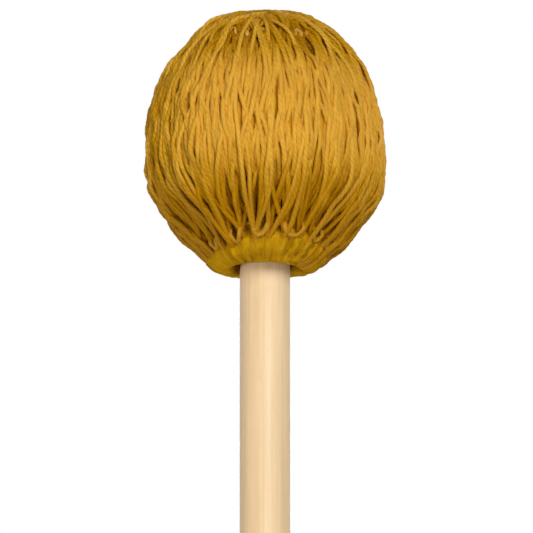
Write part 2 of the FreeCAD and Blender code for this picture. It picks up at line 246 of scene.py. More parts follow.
# places where the soft head stands in (+) or out (-): length along the outline, longitude, the
# reach both ways, and the depth
DENTS = (
    (14.5, 3.14, 4.0, 0.7, 0.5),
    (25.0, 3.14, 6.0, 0.8, -0.05),
    (22.0, 0.0, 6.0, 0.8, 0.1),
    (39.0, 0.0, 4.5, 0.8, -0.5),
    (9.0, 3.14, 3.5, 1.0, -0.5),
    (7.0, 0.0, 5.0, 1.0, -0.45),
    (56.5, 2.5, 2.0, 0.7, -0.4),
)

# the collar's skin, and the folds that the passes press into it, deeper at the right
COLLAR_SPAN = (1.4, 6.6)
COLLAR_STEP = 0.13
COLLAR_COLUMNS = 800
COLLAR_DEPTH = 0.12
FOLD_SOURCE = 2.0
FOLD_WAVES = (105.0, 9.0)
FOLD_SMOOTHINGS = 4
FOLD_LIMIT = 2.2
FOLD_DEPTHS = (0.09, 0.12)
FOLD_WIDTH = 0.42
FOLD_FADE = (0.8, 2.6)
FOLD_FADE_SHARE = 0.92

# its bunches under the stitches (depth, place, reach), how it comes out of the passes, and its puff
BUNCH = (0.16, 1.6, 2.8)
BUNCH_SHIFT = 1.0
BUNCH_SECOND_SHARE = 0.6
EMERGE = (2.8, 1.1, 2.0)
PUFF = (-0.4, -2.4, 1.6)
PUFF_RIGHT_SHARE = 0.7

# the roll's wander (depth, waves, shift), calmer and deeper in front, and how it comes in; the
# mouth's slack at the right and the left (depth, longitude, width)
WANDER = ((0.18, 2, 0.4), (0.14, 3, 1.9))
WANDER_SHARE = 0.8
CALM_SHARE = 0.8
FRONT_DEPTH = 0.36
FRONT_WIDTHS = (0.9, 0.8)
EASE = (1.0, 3.0)
MOUTH = (1.1, 1.3)
SLACK = ((3.4, -0.35, 0.5), (0.4, -2.7, 0.35))

# the line of the groove beside the lip (offset, sway, waves), and the groove and the lip themselves
# (depth, offset, reach, longitude, width)
GROOVE_LINE = (0.55, 0.5, 3)
GROOVE = (1.1, 0.0, 0.5, -0.72, 0.36)
LIP = (0.2, 1.4, 0.6, -1.0, 0.55)

# heights above the floor of the painted highlight, a paler belt with a fade at each end, and where it
# fades to the left; heights over which the cord is painted darker towards the collar, as painted shade;
# and radii over which the collar's mouth is painted dark, as painted shade
HIGHLIGHT_BELT = (374.0, 384.0, 392.0, 399.0)
HIGHLIGHT_SIDE = (-17.5, -9.0)
LOW_SHADE_HEIGHTS = (371.0, 381.0)
LOW_SHADE_SHARE = 0.74
MOUTH_SHADE_RADII = (4.6, 5.8)
MOUTH_SHADE_SHARE = 0.85

# colours from light to dark in sRGB steps; the cord's and the thread's go on with deep and with the paler
# colour of the painted highlight
CORD = ((223, 172, 56), (200, 146, 14), (164, 111, 3), (134, 88, 5), (232, 175, 68))
THREAD = ((232, 182, 92), (213, 160, 54), (178, 125, 22), (140, 90, 8), (232, 182, 90))
BASE = ((232, 172, 30), (208, 146, 18), (174, 116, 8))
COLLAR = ((212, 163, 22), (190, 141, 9), (148, 101, 3))
MOUTH_SHADE = (84, 46, 4)
BIRCH = ((245, 218, 176), (236, 204, 158), (224, 190, 142))
PORES = ((205, 165, 112), (255, 255, 255))
RUBBER = ((60, 58, 56), (40, 39, 38))
GLUE = ((226, 205, 150), (206, 180, 120))
LATEX = ((224, 196, 140), (205, 172, 112))

# the photograph's frame in pixels and metres, and the camera's angle below the head in degrees
IMAGE = 533
AXIS_X = 265.0
AIM_HEIGHT = 0.3651
SENSOR = 36.0
FRAME_WIDTH = 0.0838
DISTANCE = 1.0
CAMERA_DROP = 10.0
CLIP = (0.01, 50.0)

# the lamps: azimuth and elevation in degrees, distance and size in metres, and power; the sky from
# one height to another and its strengths there; and the floor
LAMPS = (
    ("key", 17.0, 21.0, 0.9, 0.34, 5.2),
    ("fill", -54.0, -13.0, 0.7, 0.28, 1.2),
    ("low", 14.0, -15.0, 0.7, 0.24, 0.45),
    ("back", 176.0, 10.0, 0.9, 0.4, 3.2),
)
SKY = (-0.6, 0.4, 0.08, 0.16)
WHITE = (1.0, 1.0, 1.0, 1.0)
FLOOR_SIZE = 6.0
FLOOR_GLOW = 0.55
FLOOR_TONES = (0.86, 0.9)


class Outline:
    """The head's outline by the length along it from the pole: radius, height, normal and bend."""

    def __init__(self):
        jaw_x = HEAD_RADIUS - JAW_RADIUS
        roll_x = HOLE_RADIUS + ROLL_RADIUS
        jaw_end = math.atan2(ROLL_RADIUS - WIDEST_HEIGHT, roll_x - jaw_x)
        bend = math.radians(BELLY_ANGLE)
        arcs = [
            (0.0, HEAD_HEIGHT - CROWN_RADIUS, CROWN_RADIUS, QUARTER, bend),
            (HEAD_RADIUS - BELLY_RADIUS, WIDEST_HEIGHT, BELLY_RADIUS, bend, 0.0),
            (jaw_x, WIDEST_HEIGHT, JAW_RADIUS, 0.0, jaw_end),
            (roll_x, ROLL_RADIUS, ROLL_RADIUS, jaw_end, -math.pi),
        ]
        self.crown_length = CROWN_RADIUS * (QUARTER - bend)
        lengths = [radius * (first - last) for _, _, radius, first, last in arcs]
        self.roll_start = sum(lengths[:3])
        self.length = sum(lengths) + HOLE_DEPTH
        self.s = np.arange(0.0, self.length, ROW_STEP)
        self.r = np.zeros_like(self.s)
        self.z = np.zeros_like(self.s)
        self.angle = np.full_like(self.s, -math.pi)
        self.curve = np.zeros_like(self.s)
        start = 0.0
        for (x, z, radius, first, _), length in zip(arcs, lengths):
            on = (self.s >= start) & (self.s < start + length)
            angle = first - (self.s[on] - start) / radius
            self.r[on] = x + radius * np.cos(angle)
            self.z[on] = z + radius * np.sin(angle)
            self.angle[on] = angle
            self.curve[on] = 1 / radius
            start += length
        on = self.s >= start
        self.r[on] = HOLE_RADIUS
        self.z[on] = ROLL_RADIUS + self.s[on] - start

    def at(self, s):
        """Radius, height and the normal's angle at lengths along the outline."""
        return (np.interp(s, self.s, self.r), np.interp(s, self.s, self.z),
                np.interp(s, self.s, self.angle))

    def ring(self, radius, low):
        """The length along the outline at which it has a radius, below or above its widest ring."""
        side = self.z < WIDEST_HEIGHT if low else self.z > WIDEST_HEIGHT
        side = side & (self.s < self.roll_start)
        index = np.flatnonzero(side)
        return float(self.s[index[np.argmin(np.abs(self.r[index] - radius))]])

    def points(self, s, longitude, depth):
        """Places in metres at a depth under the outline, and the outward normals there."""
        r, z, angle = self.at(s)
        out, up = np.cos(angle), np.sin(angle)
        r = r - out * depth
        z = z - up * depth
        across, along = np.cos(longitude), np.sin(longitude)
        x, y, z, nx, ny, nz = np.broadcast_arrays(r * across, r * along, z + HEAD_BOTTOM,
                                                  out * across, out * along, up)
        return np.stack([x, y, z], axis=-1) * MM, np.stack([nx, ny, nz], axis=-1)


OUTLINE = Outline()
COLLAR_LINE = OUTLINE.ring(COLLAR_RING, True)
CROWN_LINE = OUTLINE.ring(CROWN_RING, False)
WIDEST_LENGTH = OUTLINE.ring(HEAD_RADIUS, False)


def smooth(x):
    """A smooth step from 0 to 1."""
    x = np.clip(x, 0.0, 1.0)
    return x * x * (3 - 2 * x)


def bell(x, width):
    """A bell round 0, with the height 1."""
    return np.exp(-(x / width) ** 2)


def hump(x, depth, offset, reach):
    """A bell of a depth and a reach, with an offset."""
    return depth * bell(x + offset, reach)


def near(longitude, middle, width):
    """A bell round a longitude."""
    return bell(np.angle(np.exp(1j * (longitude - middle))), width)


def blurred(values, steps):
    """Values along a line, blurred by a bell of a width in steps."""
    reach = int(3 * steps) + 1
    weights = np.exp(-0.5 * (np.arange(-reach, reach + 1) / steps) ** 2)
    padded = np.pad(values, reach, mode="edge")
    return np.convolve(padded, weights / weights.sum(), mode="valid")


def running(steps):
    """The length run at each point, from the lengths given at the points."""
    return np.concatenate([[0.0], np.cumsum((steps[1:] + steps[:-1]) / 2)])


def stitch_phase(longitude, stitches):
    """The phase of the stitches round the head: one turn to a stitch, a little uneven."""
    turn = longitude + FRONT_STITCH
    phase = stitches * turn
    for size, waves in STITCH_DRIFT:
        phase = phase + size * (1 - np.cos(waves * turn))
    return phase


def bundle_phase(longitude):
    """The phase of the bundles that the passes gather into: one bundle at each arm of a stitch."""
    return 2 * stitch_phase(longitude, COLLAR_STITCHES) + math.pi


def collar_line(longitude):
    """Where the stitches at the collar lie: highest in front, and drawn in at the sides."""
    turn = longitude + RING_TURN
    return COLLAR_LINE + RING_TILT * (1 - np.cos(turn)) + RING_OVAL * (1 - np.cos(2 * turn))


def to_bundle(longitude):
    """How far it is from a longitude to the middle of its bundle."""
    step = 1e-4
    phase = float(bundle_phase(longitude))
    rate = (float(bundle_phase(longitude + step)) - phase) / step
    return (FULL * round(phase / FULL) - phase) / rate


def gather(s, longitude, share):
    """The longitudes of half a pass once the stitches draw it into their bundles."""
    at_collar = int(np.argmin(np.abs(s - COLLAR_LINE)))
    at_crown = int(np.argmin(np.abs(s - CROWN_LINE)))
    line = collar_line(longitude)
    collar = bell(s - line, np.where(s < line, *COLLAR_GATHER))
    crown = bell(s - CROWN_LINE, np.where(s > CROWN_LINE, *CROWN_GATHER))
    return (longitude + share * collar * to_bundle(longitude[at_collar])
            + CROWN_GATHER_SHARE * share * crown * to_bundle(longitude[at_crown]))


def half_pass(offset):
    """Half of a pass, from its nearest place to the pole: length along the outline and longitude. It
    keeps to a plane beside the axis, so that it leans in at both ends."""
    arc_radius = math.sqrt(CROWN_RADIUS ** 2 - offset ** 2)
    turn = math.acos(CROWN_RADIUS * math.cos(OUTLINE.crown_length / CROWN_RADIUS) / arc_radius)
    arc = np.linspace(0.0, turn, int(arc_radius * turn / PATH_STEP))
    s_crown = CROWN_RADIUS * np.arccos(arc_radius * np.cos(arc) / CROWN_RADIUS)
    crown = np.arctan2(arc_radius * np.sin(arc), offset)
    s_side = np.arange(OUTLINE.crown_length + PATH_STEP, OUTLINE.length - PASS_END, PATH_STEP)
    r, _, _ = OUTLINE.at(s_side)
    side = np.arccos(offset / np.maximum(r, COLLAR_RING - LEAST_MARGIN))
    return np.concatenate([s_crown, s_side]), np.concatenate([crown, side])


def fanned(s, longitude):
    """Longitudes drawn towards the front and the back near the collar, more so on the left."""
    turn = longitude + QUARTER
    most = FAN_TURN[0] - FAN_TURN[1] * np.sin(turn)
    pull = most * np.sin(2 * turn) * np.sin(turn) ** 2
    return longitude - pull * smooth((s - FAN_ZONE[0]) / (FAN_ZONE[1] - FAN_ZONE[0]))


def leans_in(longitude, middle):
    """Whether half a pass leans in, as the front or the back is seen: 1 or 0."""
    turn = longitude + QUARTER
    if math.cos(turn) < 0:
        turn += math.pi
    beside = math.remainder(turn, FULL)
    return 1.0 if beside * math.remainder(middle - longitude, FULL) < 0 else 0.0


def wavered(rng, s, longitude):
    """The longitudes with a slow waver, which is still at the pole."""
    waver = rng.normal(0.0, 1.0, len(s))
    waver = blurred(waver, WAVER_LENGTH / PATH_STEP / 2)
    waver *= WAVER / max(float(np.std(waver)), 1e-9)
    r, _, _ = OUTLINE.at(s)
    return longitude + waver * smooth((r - POLE_RADIUS) / POLE_RADIUS) / np.maximum(r, 1.0)


def pass_path(rng, index):
    """A pass over the head, from the collar over the crown and back: s, longitude and rank. The rank
    tells which passes lie uppermost; where one leans out it runs under the others."""
    s, longitude = half_pass(rng.uniform(*PASS_OFFSET))
    lean = smooth((s - LEAN_ZONE[0]) / (LEAN_ZONE[1] - LEAN_ZONE[0]))
    lean = PASS_LEAN * rng.normal() * lean
    longitude = np.concatenate([(-longitude + lean)[:0:-1], longitude + lean])
    s = np.concatenate([s[:0:-1], s])
    middle = FULL * ((index * GOLDEN_SHARE) % 1.0) + rng.uniform(-SCATTER, SCATTER)
    longitude = fanned(s, wavered(rng, s, longitude + middle))
    share = GATHER_SHARE if index > PASSES * LOOSE_SHARE else LOOSE_GATHER_SHARE
    share *= rng.uniform(*GATHER_SPREAD_SHARES)
    rank = np.full(len(s), index / PASSES)
    for half in (slice(0, len(s) // 2), slice(len(s) // 2, len(s))):
        equator = int(np.argmin(np.abs(s[half] - WIDEST_LENGTH)))
        outward = 1 - leans_in(float(longitude[half][equator]), middle)
        rank[half] *= 1 - (1 - OUTWARD_SHARE) * outward
        longitude[half] = gather(s[half], longitude[half], share)
    return s, longitude, blurred(rank, RANK_BLUR)


def majorant(x, y):
    """The taut line over points: the least concave line that lies on or above them."""
    keep = []
    for i in range(len(x)):
        while len(keep) > 1:
            a, b = keep[-2], keep[-1]
            if (y[b] - y[a]) * (x[i] - x[a]) <= (y[i] - y[a]) * (x[b] - x[a]):
                keep.pop()
            else:
                break
        keep.append(i)
    return np.interp(x, x[keep], y[keep])


def cell(s, longitude):
    """The grid's row and column at a place."""
    row = np.clip(np.rint(s / ROW_STEP).astype(int), 0, len(OUTLINE.s) - 1)
    column = np.rint(longitude / FULL * COLUMNS).astype(int) % COLUMNS
    return row, column


def alongside(shares, s, longitude, r, ds, dp):
    """The cells beside a pass at shares of its radius, and how high its round top stands there."""
    for u in shares * SEAT_RADIUS:
        yield cell(s - dp * u, longitude + ds * u / r), math.sqrt(SEAT_RADIUS ** 2 - u * u)


def lay_pass(grid, s, longitude):
    """Lay one pass on what is there, pull it taut, and add it to the grid. Its heights come back."""
    r, _, _ = OUTLINE.at(s)
    r = np.maximum(r, LEAST_RADIUS)
    ds, dp = np.gradient(s), np.gradient(longitude) * r
    step = np.hypot(ds, dp)
    ds, dp = ds / step, dp / step
    length = running(step)
    support = np.full_like(s, SEAT_RADIUS)
    feelers = np.linspace(-FEEL_SHARE, FEEL_SHARE, FEELERS)
    for at, rise in alongside(feelers, s, longitude, r, ds, dp):
        support = np.maximum(support, grid[at] + rise)
    bend = np.interp(s, OUTLINE.s, np.minimum(OUTLINE.curve, 1 / CROWN_RADIUS))
    sag = np.cumsum(np.cumsum(bend * step) * step)
    height = blurred(majorant(length, support - sag) + sag, HEIGHT_BLUR)
    fine = np.arange(0.0, length[-1], MARK_SPACING)
    top, *way = (np.interp(fine, length, v) for v in (height, s, longitude, r, ds, dp))
    marks = np.arange(-MARK_SHARE, MARK_SHARE + MARK_STEP_SHARE / 2, MARK_STEP_SHARE)
    for at, rise in alongside(marks, *way):
        np.maximum.at(grid, at, top + rise)
    return height


def wind():
    """All passes in the order in which they are laid, and the grid of heights that they leave."""
    rng = np.random.default_rng(SEED)
    grid = np.zeros((len(OUTLINE.s), COLUMNS))
    laid = []
    for index in range(PASSES):
        s, longitude, rank = pass_path(rng, index)
        laid.append((s, longitude, lay_pass(grid, s, longitude), rank))
    return laid, grid


def base_depth(s):
    """How deep the base lies under the outline: deepest above the collar, and least at it."""
    return (BASE_DEPTH - hump(s - WIDEST_LENGTH, *BASE_BELT) - hump(s, *BASE_CROWN)
            + hump(s - COLLAR_LINE, *BASE_THROAT)
            - (BASE_DEPTH - BASE_COLLAR[0]) * smooth((s - COLLAR_LINE) / BASE_COLLAR[1]))


def ring_shares(s, longitude):
    """How much a place belongs to the open zones above the collar's ring and round the crown's."""
    line = collar_line(longitude)
    return (bell(s - line, np.where(s < line, *COLLAR_ZONE)),
            bell(s - CROWN_LINE, np.where(s > CROWN_LINE, *CROWN_ZONE)))


def drawn_in(s, longitude):
    """How far the head stands in from its even outline: at the collar's stitches and its dents."""
    left, right = DRAWN_WIDTHS
    side = near(longitude, LEFT, left) + DRAWN_RIGHT_SHARE * near(longitude, RIGHT, right)
    depth = DRAWN_IN * side * bell(s - collar_line(longitude) + DRAWN_PLACE[0], DRAWN_PLACE[1])
    for middle, turn, reach, width, dent in DENTS:
        depth = depth + dent * near(longitude, turn, width) * bell(s - middle, reach)
    return depth


def pile_height(grid):
    """How high the winding stands at each row of the grid in each of a few sectors, smoothed."""
    wide = COLUMNS // SECTORS
    around = np.concatenate([grid[:, -wide:], grid, grid[:, :wide]], axis=1)
    top = np.stack([np.percentile(around[:, k * wide:(k + 3) * wide], PILE_PERCENT, axis=1)
                    for k in range(SECTORS)], axis=1)
    top[:PILE_POLE_ROWS] = top[PILE_POLE_ROWS]
    top = np.stack([blurred(column, PILE_BLUR) for column in top.T], axis=1)
    near_pole = bell(OUTLINE.s, PILE_POLE)[:, None]
    top = top * (1 - near_pole) + top.mean(axis=1)[:, None] * near_pole
    return np.maximum(top, 2 * SEAT_RADIUS)


def pile_at(pile, s, longitude):
    """The pile's height at places on the head."""
    row = np.clip(s / ROW_STEP, 0, len(pile) - 1.001)
    column = (longitude / FULL * SECTORS - 0.5) % SECTORS
    i, j = row.astype(int), column.astype(int) % SECTORS
    u, v = row - i, column - np.floor(column)
    after = (j + 1) % SECTORS
    return ((pile[i, j] * (1 - v) + pile[i, after] * v) * (1 - u)
            + (pile[i + 1, j] * (1 - v) + pile[i + 1, after] * v) * u)


def right_run(longitude):
    """How far the strands at the right run on over the collar."""
    return RIGHT_RUN[0] * near(longitude, RIGHT_FOLDS, RIGHT_RUN[1])


def sinking(rng, s):
    """How far a pass sinks or rises along its way, less so at the pole."""
    sink = blurred(rng.normal(0.0, 1.0, len(s)), SINK_LENGTH / PATH_STEP / 4)
    sink *= (1 - SINK_POLE_SHARE * bell(s, SINK_POLE)) * SINK / max(float(np.std(sink)), 1e-9)
    return sink


def pass_depth(rng, s, longitude, height, pile, rank):
    """The depth of a pass's middle under the outline, where what stands highest just reaches it, and
    how far it lies under the passes laid last, which stand alone near the rings of stitches."""
    base = base_depth(s)
    top = pile_at(pile, s, longitude)
    share = (base - CORD_RADIUS) / np.maximum(top - SEAT_RADIUS, LEAST_PILE)
    depth = base - SEAT_RADIUS - (height - SEAT_RADIUS) * share
    at_collar, at_crown = ring_shares(s, longitude)
    open_share = np.maximum(at_collar, CROWN_OPEN_SHARE * at_crown)
    relief = RELIEF_SHARE + (1 - RELIEF_SHARE) * open_share
    even = CORD_RADIUS * TOP_DEPTH_SHARE
    depth = even + (depth - even) * relief + sinking(rng, s) * (1 - OPEN_SINK_SHARE * open_share)
    flank = near(longitude, LEFT, FLANK_WIDTHS[0]) + near(longitude, RIGHT, FLANK_WIDTHS[1])
    zone = at_collar * (1 - UNDER_FLANK_SHARE * flank) + UNDER_CROWN_SHARE * at_crown
    under = smooth((1 - TOP_SHARE - rank) / UNDER_FADE_SHARE) * zone
    deeper = smooth((DEEPER_SHARES[0] - rank) / DEEPER_SHARES[1])
    lowered = DRAWN_DOWN * under + DEEPER_HALF * deeper * (1 - open_share)
    start = DIVE_START + min(rng.exponential(DIVE_SCATTER), DIVE_LATEST) + right_run(longitude)
    raised = RAISED + hump(s - CROWN_LINE, *CROWN_RAISED)
    dive = DIVE_DEPTH * smooth((s - collar_line(longitude) - start) / DIVE_LENGTH)
    return depth + lowered - raised + drawn_in(s, longitude) + dive, under


def mesh_piece(name, vertices, faces, uv=None, attributes=()):
    """A mesh object of quads, smooth, with its maps."""
    mesh = bpy.data.meshes.new(name)
    mesh.vertices.add(len(vertices))
    mesh.vertices.foreach_set("co", np.asarray(vertices, np.float32).ravel())
    mesh.loops.add(faces.size)
    mesh.loops.foreach_set("vertex_index", faces.astype(np.int32).ravel())
    mesh.polygons.add(len(faces))
    mesh.polygons.foreach_set("loop_start", np.arange(0, faces.size, 4, dtype=np.int32))
    mesh.polygons.foreach_set("loop_total", np.full(len(faces), 4, np.int32))
    mesh.update(calc_edges=True)
    mesh.polygons.foreach_set("use_smooth", np.ones(len(faces), bool))
    for map_name, values in (uv or {}).items():
        layer = mesh.uv_layers.new(name=map_name)
        layer.data.foreach_set("uv", np.asarray(values, np.float32).reshape(-1, 2).ravel())
    for label, values in attributes:
        attribute = mesh.attributes.new(label, "FLOAT", "POINT")
        attribute.data.foreach_set("value", np.asarray(values, np.float32))
    mesh.validate()
    piece = bpy.data.objects.new(name, mesh)
    bpy.context.scene.collection.objects.link(piece)
    return piece


def cord_mesh(places, normals, width, height, sides, start):
    """Points of a twisted cord along places; its flat side faces along the normals."""
    along = np.gradient(places, axis=0)
    step = np.linalg.norm(along, axis=1)
    along /= step[:, None]
    out = normals - along * np.sum(normals * along, axis=1)[:, None]
    out /= np.linalg.norm(out, axis=1)[:, None]
    side = np.cross(along, out)
    run = start + running(step) / MM
    turn = np.linspace(0.0, FULL, sides, endpoint=False)
    twist = FULL * run[:, None] / TWIST_PITCH
    swell = 1 + PLY_SHARE * np.cos(PLIES * (turn[None, :] - twist))
    x = np.cos(turn)[None, :] * swell * np.reshape(width, (-1, 1)) * MM
    y = np.sin(turn)[None, :] * swell * np.reshape(height, (-1, 1)) * MM
    points = places[:, None, :] + side[:, None, :] * x[..., None] + out[:, None, :] * y[..., None]
    return points, run


def tube_faces(rings, sides, first):
    """The quads of an open tube, and each corner's ring and side numbers."""
    ring = np.arange(rings - 1)[:, None]
    side = np.arange(sides)[None, :]
    after = (side + 1) % sides
    corners = np.stack([ring * sides + side, ring * sides + after,
                        (ring + 1) * sides + after, (ring + 1) * sides + side], axis=-1)
    rings_at = np.broadcast_to(np.stack([ring, ring, ring + 1, ring + 1], axis=-1), corners.shape)
    sides_at = np.broadcast_to(np.stack([side, side + 1, side + 1, side], axis=-1), corners.shape)
    return corners.reshape(-1, 4) + first, rings_at.reshape(-1, 4), sides_at.reshape(-1, 4)


def cords_piece(name, cords, sides):
    """One object of several cords: each is (places, normals, width, height, start, and a tone that
    carries painted light and shade).
    """
    vertices, faces, real, atlas, tones_and_shades = [], [], [], [], []
    first = 0
    for number, (places, normals, width, height, start, tone_and_shade) in enumerate(cords):
        points, run = cord_mesh(places, normals, width, height, sides, start)
        quads, rings_at, sides_at = tube_faces(len(places), sides, first)
        vertices.append(points.reshape(-1, 3))
        faces.append(quads)
        around = sides_at / sides
        real.append(np.stack([run[rings_at], around + number], axis=-1).reshape(-1, 2))
        strip = (number + 0.05 + 0.9 * around) / len(cords)
        along = (run[rings_at] - run[0]) / (run[-1] - run[0])
        atlas.append(np.stack([along, strip], axis=-1).reshape(-1, 2))
        tones_and_shades.append(np.repeat(np.broadcast_to(tone_and_shade, len(points)), sides))
        first += len(points) * sides
    uv = {"OFBake": np.concatenate(atlas), "cord": np.concatenate(real)}
    return mesh_piece(name, np.concatenate(vertices), np.concatenate(faces), uv,
                      [("tone_and_shade", np.concatenate(tones_and_shades))])


def resampled(s, longitude, depth, under, step):
    """A pass's places at a regular step, how thick it is there and how far it lies under others."""
    places, _ = OUTLINE.points(s, longitude, depth)
    run = np.linalg.norm(np.diff(places, axis=0), axis=1)
    run = np.concatenate([[0.0], np.cumsum(run)]) / MM
    at = np.arange(0.0, run[-1], step)
    s, longitude, depth, under = (np.interp(at, run, v) for v in (s, longitude, depth, under))
    at_collar, at_crown = ring_shares(s, longitude)
    thin = 1 + THICKER_SHARE * at_collar - THINNER_SHARE * at_crown
    return (*OUTLINE.points(s, longitude, depth), thin, under)


def make_winding(laid, pile):
    """The passes of the outer winding, the upper ones fine and the buried ones coarser."""
    rng = np.random.default_rng(SEED + 1)
    first_fine = int(PASSES * (1 - FINE_SHARE))
    first_top = PASSES * (1 - TOP_SHARE)
    cords = []
    for index, (s, longitude, height, rank) in enumerate(laid):
        end = collar_line(longitude) + PAST_COLLAR + right_run(longitude)
        inside = np.flatnonzero(s < end)
        cut = slice(inside[0], inside[-1] + 1)
        depth, under = pass_depth(rng, s, longitude, height, pile, rank)
        step, _ = FINE_TUBE if index >= first_fine else DEEP_TUBE
        places, normals, thin, under = resampled(s[cut], longitude[cut], depth[cut], under[cut],
                                                 step)
        thick = CORD_RADIUS * rng.uniform(*THICKNESS_SHARES) * thin
        # painted light and shade: the last passes, on top, are painted lighter and the rest darker
        tone_and_shade = rng.normal(0.0, 1.0) + (LAYER_LIGHT_AND_SHADE[0] if index > first_top else LAYER_LIGHT_AND_SHADE[1])
        width, height = (thick * share for share in FLATNESS_SHARES)
        # painted shade: a pass is painted darker where it lies under others
        cords.append((places, normals, width, height, rng.uniform(0.0, TWIST_PITCH),
                      tone_and_shade - UNDER_PAINTED_SHADE * under))
    pieces = [cords_piece("winding_deep", cords[:first_fine], DEEP_TUBE[1])]
    upper = cords[first_fine:]
    for number in range(PIECES):
        pieces.append(cords_piece(f"winding_{number + 1}", upper[number::PIECES], FINE_TUBE[1]))
    return pieces


def evenly(columns):
    """Longitudes at even steps round the head."""
    return np.arange(columns) / columns * 2 * math.pi


def lathe_piece(name, s, columns, depth):
    """A closed skin round the head at depths under the outline, on rows s."""
    places, _ = OUTLINE.points(s[:, None], evenly(columns)[None, :], depth)
    outward = [0, 3, 2, 1]
    faces, rows_at, columns_at = (part[:, outward] for part in tube_faces(len(s), columns, 0))
    flat = np.stack([columns_at / columns, 1 - rows_at / (len(s) - 1)], axis=-1)
    return mesh_piece(name, places.reshape(-1, 3), faces, {"OFBake": flat.reshape(-1, 2)})


def make_base():
    """The soft winding under the cord, closed over the crown and drawn in at the collar."""
    s = np.linspace(SKIN_START, COLLAR_LINE + SKIN_PAST, SKIN_ROWS)
    longitude = evenly(SKIN_COLUMNS)
    deep, count, sway, length = SKIN_RIBS
    ribs = deep * np.sin(count * longitude[None, :] + sway * np.sin(s[:, None] / length))
    belt = hump(s - WIDEST_LENGTH, *SKIN_BELT)
    depth = (base_depth(s) - SKIN_LIFT - belt)[:, None] + ribs * smooth(s[:, None] / SKIN_POLE)
    return lathe_piece("base_yarn", s, SKIN_COLUMNS, depth)


def pressed_folds(grid, s):
    """The passes' own waves round the collar's rows, without the finest and the widest."""
    wide = np.fft.rfft(grid, axis=1)
    waves = np.arange(wide.shape[1])
    last = int((COLLAR_LINE + FOLD_SOURCE) / ROW_STEP)
    source = np.clip(np.rint(s / ROW_STEP).astype(int), 0, last)
    keep = bell(waves, FOLD_WAVES[0]) * (1 - bell(waves, FOLD_WAVES[1]))
    folds = np.fft.irfft(wide[source] * keep[None, :], n=COLUMNS, axis=1)
    folds = folds / max(float(np.std(folds)), 1e-9)
    at = np.arange(COLLAR_COLUMNS) / COLLAR_COLUMNS * COLUMNS
    index = at.astype(int)
    part = at - index
    folds = folds[:, index] * (1 - part) + folds[:, (index + 1) % COLUMNS] * part
    for _ in range(FOLD_SMOOTHINGS):
        folds[1:-1] = (folds[:-2] + 2 * folds[1:-1] + folds[2:]) / 4
    return folds


def roll_depth(s, longitude):
    """How deep the collar's roll lies: uneven, slack at the mouth, with a groove beside its lip."""
    past = s - OUTLINE.roll_start
    wander = sum(deep * np.sin(waves * longitude + shift) for deep, waves, shift in WANDER)
    calm, deeper = (near(longitude, FRONT, width) for width in FRONT_WIDTHS)
    wander = wander * (1 - CALM_SHARE * calm) + FRONT_DEPTH * deeper
    ease = smooth((past + EASE[0]) / EASE[1])[:, None]
    mouth = smooth((past - MOUTH[0]) / MOUTH[1])[:, None]
    slack = sum(deep * near(longitude, middle, width) for deep, middle, width in SLACK)
    line = OUTLINE.roll_start + GROOVE_LINE[0] + GROOVE_LINE[1] * np.sin(GROOVE_LINE[2] * longitude)
    ridges = [bell(s[:, None] - line[None, :] + offset, reach) * near(longitude, middle, width)
              for _, offset, reach, middle, width in (GROOVE, LIP)]
    return wander[None, :] * ease * WANDER_SHARE, slack[None, :] * mouth, ridges


def collar_depth(s, longitude, folds):
    """How deep the collar's skin lies under the outline."""
    right = near(longitude, RIGHT_FOLDS, FOLD_WIDTH)
    deep = (FOLD_DEPTHS[0] + FOLD_DEPTHS[1] * right)[None, :]
    fading = smooth((s - OUTLINE.roll_start + FOLD_FADE[0]) / FOLD_FADE[1])
    swell = np.clip(folds, -FOLD_LIMIT, FOLD_LIMIT) * deep * (1 - FOLD_FADE_SHARE * fading)[:, None]
    phase = bundle_phase(longitude)
    bunch = np.cos(phase) + BUNCH_SECOND_SHARE * np.cos(phase / 2 + BUNCH_SHIFT)
    below = s[:, None] - collar_line(longitude)[None, :]
    bunch = BUNCH[0] * bunch[None, :] * bell(below - BUNCH[1], BUNCH[2])
    emerge = EMERGE[0] * (1 - smooth((below + EMERGE[1]) / EMERGE[2]))
    puff = hump(below, *PUFF) * (1 - PUFF_RIGHT_SHARE * right)[None, :]
    wander, slack, (groove, lip) = roll_depth(s, longitude)
    depth = emerge + puff - swell - bunch + COLLAR_DEPTH + wander + slack
    return depth + GROOVE[0] * groove - LIP[0] * lip + drawn_in(s[:, None], longitude[None, :])


def make_collar(grid):
    """The drawn-in collar: the passes pressed together into fine folds, rolled into the hole."""
    s = np.arange(COLLAR_LINE - COLLAR_SPAN[0], OUTLINE.roll_start + COLLAR_SPAN[1], COLLAR_STEP)
    depth = collar_depth(s, evenly(COLLAR_COLUMNS), pressed_folds(grid, s))
    return lathe_piece("collar", s, COLLAR_COLUMNS, depth)


